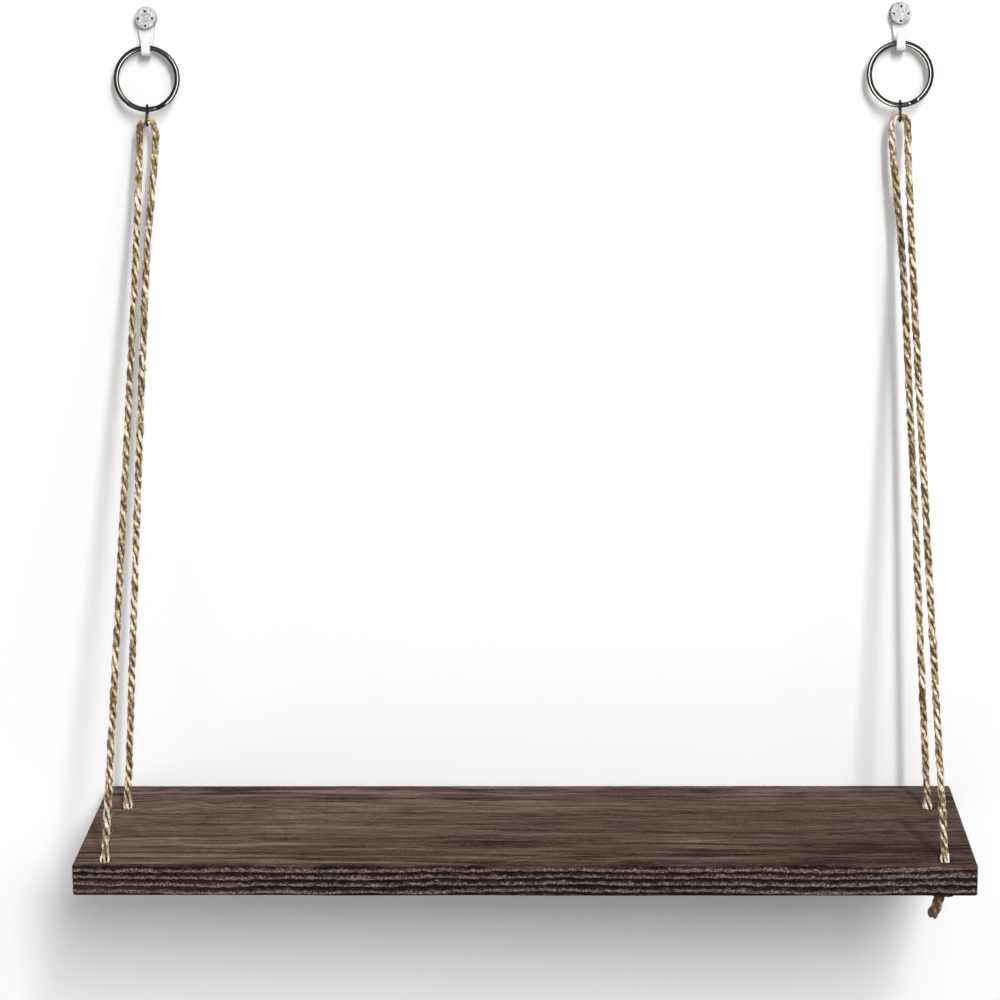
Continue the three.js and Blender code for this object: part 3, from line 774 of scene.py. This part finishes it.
# The board: a rounded section carried along X, its grain brushed into relief
holes = {"x": boardHigh.x - 14.7 * mm, "front": frontEdge + 8 * mm, "rear": -34 * mm, "diameter": 6 * mm}
board = {"ease": 1.1 * mm, "topStep": 1 * mm, "frontStep": 0.33 * mm, "underStep": 3 * mm,
         "rearStep": 1 * mm, "alongStep": 1.06 * mm, "lip": 0.7 * mm, "ridgeSpacing": 3.55 * mm,
         "ridgeDepth": 0.66 * mm, "topDepth": 0.2 * mm, "streakSpacing": 8.6 * mm}

# Torched, wire-brushed wood: grain and front come from the board's mesh, fibres and end grain from its place
wood = {"topDark": colour(0.022, 0.011, 0.009), "topMid": colour(0.112, 0.071, 0.058),
        "topLight": colour(0.26, 0.185, 0.155), "char": colour(0.0045, 0.0022, 0.002),
        "ridge": colour(0.0484, 0.0294, 0.0266), "ash": colour(0.3536, 0.2743, 0.2651),
        "red": colour(0.125, 0.06, 0.042), "pith": (-52 * mm, -452 * mm), "ringSpacing": 3.5 * mm,
        "streak": (26, 470, 470), "dash": (105, 700, 900), "hair": (60, 2300, 2300), "cloud": (9, 34, 34),
        "speck": (640, 800, 1000), "grit": (1050, 1200, 1450), "blush": (14, 130, 130)}


def endGrain(place):
    fromPith = place.node("VectorMath", {"operation": "SUBTRACT"}, {0: place, 1: (0, *wood["pith"])})
    away = place.node("VectorMath", {"operation": "LENGTH"}, {0: fromPith.scaled(0, 1, 1)}, 1)
    rings = (away * (1 / wood["ringSpacing"]) + place.scaled(90, 90, 90).noise(3, 0.6) * 0.9).maths("FRACT")
    return rings * 0.45 + place.scaled(200, 260, 3000).noise(2, 0.6) * 0.35


def woodMaterial():
    material, start = startMaterial("torched_wood")
    place = start.node("TexCoord", None, None, 3)
    facing = start.node("SeparateXYZ", None, {0: start.node("TexCoord", None, None, 1)})
    atEnd = facing.maths("ABSOLUTE").between(0.75, 0.92)
    grain = start.node("Attribute", {"attribute_name": "grain"}, None, 2)
    front = start.node("Attribute", {"attribute_name": "front"}, None, 2)
    streak = place.scaled(*wood["streak"]).noise(3, 0.6, 0.3)
    dash = place.scaled(*wood["dash"]).noise(4, 0.75, 0.4)
    hair = place.scaled(*wood["hair"]).noise(2, 0.6)
    cloud = place.scaled(*wood["cloud"]).noise(2, 0.5)
    speck = place.scaled(*wood["speck"]).noise(3, 0.72)
    grit = place.scaled(*wood["grit"]).noise(3, 0.78)
    blush = place.scaled(*wood["blush"]).noise(2, 0.5)
    along = start.node("SeparateXYZ", None, {0: place})
    top = grain * 0.75 + 0.01 + (streak - 0.5) * 0.8 + (dash - 0.5) * 1.7 + (speck - 0.5) * 0.9
    top = top + (hair - 0.5) * 0.5 + (cloud - 0.5) * 0.4 - along * 0.6
    topColour = mixed(top.between(-0.15, 0.42), wood["topDark"], wood["topMid"])
    topColour = mixed(top.between(0.35, 1.05), topColour, wood["topLight"])
    topColour = mixed(blush.between(0.47, 0.68) * 0.5, topColour, wood["red"])
    edge = grain + (hair - 0.5) * 0.3 + (speck - 0.5) * 0.6 + (grit - 0.5) * 1.7 + (dash - 0.5) * 0.6
    edgeColour = mixed(edge.between(0.2, 0.72), wood["char"], wood["ridge"])
    edgeColour = mixed(edge.between(0.55, 1.15) * grit.between(0.43, 0.63), edgeColour, wood["ash"])
    edgeColour = mixed(cloud.between(0.5, 0.75) * 0.2, edgeColour, wood["red"])
    endColour = mixed(endGrain(place).between(0.1, 0.75), wood["char"], wood["ridge"])
    shown = mixed(atEnd, mixed(front, topColour, edgeColour), endColour)
    height = grain * 0.3 + streak * 0.3 + dash * 0.5 + hair * 0.35 + speck * front * 1.1
    rough = 0.88 - grain * 0.1 - (streak - 0.5) * 0.2
    sockets = {"Base Color": shown, "Roughness": rough, "Specular IOR Level": 0.1}
    return finishMaterial(start, material, sockets, height, 0.6, 0.25 * mm)


woodFinish = woodMaterial()


# A ridge in each period: it rises slowly from the groove above it and drops sharply below
def sawtooth(phase, sharp):
    within = phase - np.floor(phase)  # 0 at the bottom of the period, 1 at its top
    rise = smooth(1 - within, 0.02, 0.84)
    return rise * smooth(within, 0.03, sharp)


# Height of the grain from 0 in a groove to 1 on a ridge, on the front edge and on the other faces
def edgeGrain(x, z):
    up, along = (z - boardUnder) / mm, x / mm
    wave = 0.8 * noiseOf(along / 70, seed=3) + 0.55 * noiseOf(along / 24, up / 7, seed=4)
    wave = wave + 0.3 * noiseOf(along / 7, up / 3, seed=5) + 0.24 * noiseOf(along / 2.1, up / 2, seed=6)
    phase = (up + wave) / (board["ridgeSpacing"] / mm) - 0.39
    strength = 0.5 + 0.5 * noiseOf(along / 38, np.floor(phase) * 1.7, seed=7)
    ridge = sawtooth(phase, 0.26) * (0.8 + 0.2 * strength)
    between = 0.12 * smooth(noiseOf(along / 16, up / 0.9, seed=9), 0.15, 0.6)
    paler = 0.08 + 0.05 * smooth(up, 8, 14) + 0.06 * smooth(along, 60, 150)
    return np.clip(paler + ridge + between + 0.26 * noiseOf(along / 1.5, up / 0.8, seed=8), 0, 1)


def topGrain(x, y):
    along, deep = x / mm, y / mm
    wave = 3.2 * noiseOf(along / 120, deep / 40, seed=13) + 1.1 * noiseOf(along / 34, deep / 12, seed=14)
    rearLeft = smooth(-along, 120, 195) * smooth(deep, -70, -20)
    line = deep + wave + 8 * rearLeft * noiseOf(along / 13, deep / 14, seed=18)
    near = smooth(-deep, 60, 108)
    phase = line / (board["streakSpacing"] / mm)
    strength = smooth(noiseOf(along / 75, np.floor(phase) * 2.3, seed=19), -0.35, 0.5)
    streak = (sawtooth(phase, 0.2) - 0.45) * (0.25 + 0.75 * near) * strength
    fine = noiseOf(along / 30, line / 1.7, seed=15) * 0.6 + noiseOf(along / 15, line / 1.1, seed=16) * 0.3
    broad = noiseOf(along / 85, line / 6.5, seed=17)
    far = smooth(deep, -48, -10)
    lively = (1 + 1.6 * far + 1.2 * near) * (1.15 - 0.6 * smooth(along, 60, 170))
    atRear = 0.35 * smooth(deep, -3.5, -0.5)
    level = 0.5 - (0.33 - 0.09 * smooth(along, 80, 180)) * near + 0.13 * far - atRear
    level = level + 1.1 * streak * (1 - 0.65 * smooth(along, 80, 170))
    return np.clip(level + (0.36 * fine + 0.2 * broad) * lively, 0, 1)


def boardSection():
    e = board["ease"]
    y0, y1, z0, z1 = boardLow.y, boardHigh.y, boardUnder, boardTop
    rows = []

    def side(start, end, normal, step):
        count = max(int(math.dist(start, end) / step), 1)
        for k in range(count + 1):
            t = k / count
            rows.append((start[0] + (end[0] - start[0]) * t, start[1] + (end[1] - start[1]) * t, *normal))

    def corner(middle, start):
        for k in (1, 2, 3):
            t = math.radians(start + k * 22.5)
            rows.append((middle[0] + e * math.cos(t), middle[1] + e * math.sin(t), math.cos(t), math.sin(t)))

    side((y1 - e, z1), (y0 + e, z1), (0, 1), board["topStep"])
    corner((y0 + e, z1 - e), 90)
    side((y0, z1 - e), (y0, z0 + e), (-1, 0), board["frontStep"])
    corner((y0 + e, z0 + e), 180)
    side((y0 + e, z0), (y1 - e, z0), (0, -1), board["underStep"])
    corner((y1 - e, z0 + e), 270)
    side((y1, z0 + e), (y1, z1 - e), (1, 0), board["rearStep"])
    corner((y1 - e, z1 - e), 0)
    return np.array(rows)


def grainAt(points, normalY, normalZ):
    x, y, z = points.T
    onFront = np.clip(-normalY, 0, 1) ** 2
    onRear = np.clip(normalY, 0, 1) ** 2
    edge = edgeGrain(x, z)
    fall = np.where(y < frontEdge + 2 * mm, boardTop - z, 0)  # the top's grain runs on down the front
    return topGrain(x, y - fall) * (1 - onFront - onRear) + edge * (onFront + onRear), onFront


def makeBoard():
    section = boardSection()
    e = board["ease"]
    half = boardHigh.x
    stations = np.linspace(e - half, half - e, int((2 * half - 2 * e) / board["alongStep"]) + 1)
    rim = [half - e + e * math.sin(math.radians(a)) for a in (30, 60, 90)]
    stations = np.concatenate([[-x for x in rim[::-1]], stations, rim])
    inset = e - np.sqrt(np.maximum(e**2 - np.maximum(np.abs(stations) - (half - e), 0) ** 2, 0))
    x = np.repeat(stations, len(section))
    y, z, ny, nz = (np.tile(section[:, k], len(stations)) for k in range(4))
    points = np.stack([x, y, z], axis=1)
    grain, onFront = grainAt(points, ny, nz)
    depth = (board["topDepth"] + (board["ridgeDepth"] - board["topDepth"]) * onFront) * (1 - grain)
    depth = depth + np.repeat(inset, len(section))
    points[:, 1] -= ny * depth
    points[:, 2] -= nz * depth
    piece = makeMesh("torched_board", points, tubeFaces(len(stations), len(section)), woodFinish)
    r = holes["diameter"] / 2
    lip = r + board["lip"]
    profile = [(0, 1 * mm), (lip + 1 * mm, 1 * mm), (r, -board["lip"]), (r, board["lip"] - boardThickness),
               (lip + 1 * mm, -boardThickness - 1 * mm), (0, -boardThickness - 1 * mm)]
    drills = []
    for side in sides.values():
        for y in (holes["front"], holes["rear"]):
            vertices, faces = turned(profile, 40)
            drills.append(([(side * holes["x"] + a, y - c, boardTop + b) for a, b, c in vertices], faces))
    drillOut(piece, drills, woodFinish)
    mesh = piece.data
    places = np.zeros(len(mesh.vertices) * 3)
    normals = np.zeros(len(mesh.vertices) * 3)
    mesh.vertices.foreach_get("co", places)
    mesh.vertex_normals.foreach_get("vector", normals)
    places, normals = places.reshape(-1, 3), normals.reshape(-1, 3)
    ragged = 0.5 * mm * noiseOf(places[:, 0] / (4 * mm), places[:, 2] / (3 * mm), seed=21)
    ragged = ragged + 0.9 * mm * noiseOf(places[:, 0] / (27 * mm), seed=22)
    nearFront = 1 - smooth(places[:, 1] - frontEdge + 0.3 * ragged, 1.1 * mm, 2 * mm)
    nearFront = nearFront * smooth(boardTop - places[:, 2] + ragged, 0.1 * mm, 1.2 * mm)
    nearRear = smooth(places[:, 1] - boardHigh.y, -1.6 * mm, -0.7 * mm)
    grain, _ = grainAt(places, nearRear - nearFront, 0)
    layer = mesh.attributes.new("grain", "FLOAT", "POINT")
    layer.data.foreach_set("value", grain.astype(np.float32))
    layer = mesh.attributes.new("front", "FLOAT", "POINT")
    layer.data.foreach_set("value", np.maximum(nearFront, nearRear).astype(np.float32))
    mesh.polygons.foreach_set("use_smooth", [len(p.vertices) < 30 for p in mesh.polygons])
    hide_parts("board")
    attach(piece, "shelf")
    print("board has", len(mesh.polygons), "faces")


# Stage: a white wall just behind the hooks and a pale floor, both seen from their front only
stage = {"wallGap": 0.2 * mm, "floorDrop": 0.95, "half": 3.0, "height": 2.2, "paint": 0.98, "lift": 0.025,
         "world": 0.3}


def paintMaterial():
    material, start = startMaterial("stage_paint")
    ray = start.node("LightPath")
    seen = start.node("Emission", None, {"Color": colour(1, 1, 1), "Strength": 1.0})
    matt = start.node("BsdfDiffuse", None, {"Color": colour(*[stage["paint"]] * 3)})
    lit = start.node("MixShader", None, {0: ray * stage["lift"], 1: matt, 2: seen})
    behind = start.node("NewGeometry", None, None, 6)
    shown = start.node("MixShader", None, {0: behind, 1: lit, 2: start.node("BsdfTransparent")})
    start.node("OutputMaterial", None, {"Surface": shown})
    return material


def makeStage():
    paint = paintMaterial()
    w, wallY, floorZ = stage["half"], boardHigh.y + stage["wallGap"], -stage["floorDrop"]
    wall = makeMesh("wall", [(-w, wallY, floorZ), (w, wallY, floorZ), (w, wallY, stage["height"]),
                             (-w, wallY, stage["height"])], [[0, 1, 2, 3]], paint)
    floor = makeMesh("floor", [(-w, -w, floorZ), (w, -w, floorZ), (w, w, floorZ), (-w, w, floorZ)],
                     [[0, 1, 2, 3]], paint)
    for obj in (wall, floor):
        obj.visible_diffuse = obj.visible_glossy = obj.visible_shadow = obj.visible_transmission = False
    world = bpy.data.worlds.new("studio")
    world.use_nodes = True
    world.node_tree.nodes.clear()
    start = Shade(world.node_tree)
    strength = start.node("LightPath") * (1 - stage["world"]) + stage["world"]
    sky = start.node("Background", None, {"Color": colour(1, 1, 1), "Strength": strength})
    start.node("OutputWorld", None, {"Surface": sky})
    bpy.context.scene.world = world


lamps = {
    "key": {"place": (1.2, -3.75, 2.45), "size": (0.45, 2.6), "power": 133, "mattOnly": True},
    "soft": {"place": (1.5, -3.7, 2.5), "size": (3.0, 2.8), "power": 101, "mattOnly": True},
    "strip": {"place": (0.05, -1.75, 0.05), "size": (0.4, 1.3), "power": 57, "glossOnly": True,
              "tint": (1.0, 0.92, 0.82)},
    "fill": {"place": (-0.85, -0.75, -0.7), "size": (0.4, 0.4), "power": 0.08, "mattOnly": True,
             "aim": (-0.15, 0, -0.5), "spread": 34},
    "behind": {"place": (0.6, 2.2, 0.8), "size": (1.2, 1.2), "power": 10},
}


def makeLamps():
    middle = (0, (boardLow.y + boardHigh.y) / 2, boardTop / 2)
    for name, look in lamps.items():
        data = bpy.data.lights.new(name, "AREA")
        data.shape = "RECTANGLE"
        data.size, data.size_y = look["size"]
        data.energy = look["power"]
        data.color = look.get("tint", (1, 1, 1))
        data.spread = math.radians(look.get("spread", 180))
        lamp = bpy.data.objects.new(name, data)
        lamp.location = look["place"]
        aim = Vector(look.get("aim", middle)) - lamp.location
        lamp.rotation_euler = aim.to_track_quat("-Z", "Y").to_euler()
        lamp.visible_camera = False
        lamp.visible_diffuse = not look.get("glossOnly", False)
        lamp.visible_glossy = not look.get("mattOnly", False)
        bpy.context.scene.collection.objects.link(lamp)


# Everything is made here, the ropes first
print("materials made")
for name, side in sides.items():
    makeSling(name, side)
    makeRopeEnd(name, side, "front")
    makeRopeEnd(name, side, "rear")
print("ropes made")
for name, side in sides.items():
    makeRing(name, side)
    makeLink(name, side)
print("rings and links made")
for name, side in sides.items():
    makeHook(name, side)
    makeNails(name, side)
print("hooks and nails made")
makeBoard()
makeStage()
makeLamps()
bpy.context.scene.view_settings.view_transform = "Standard"
print("stage and lamps set")
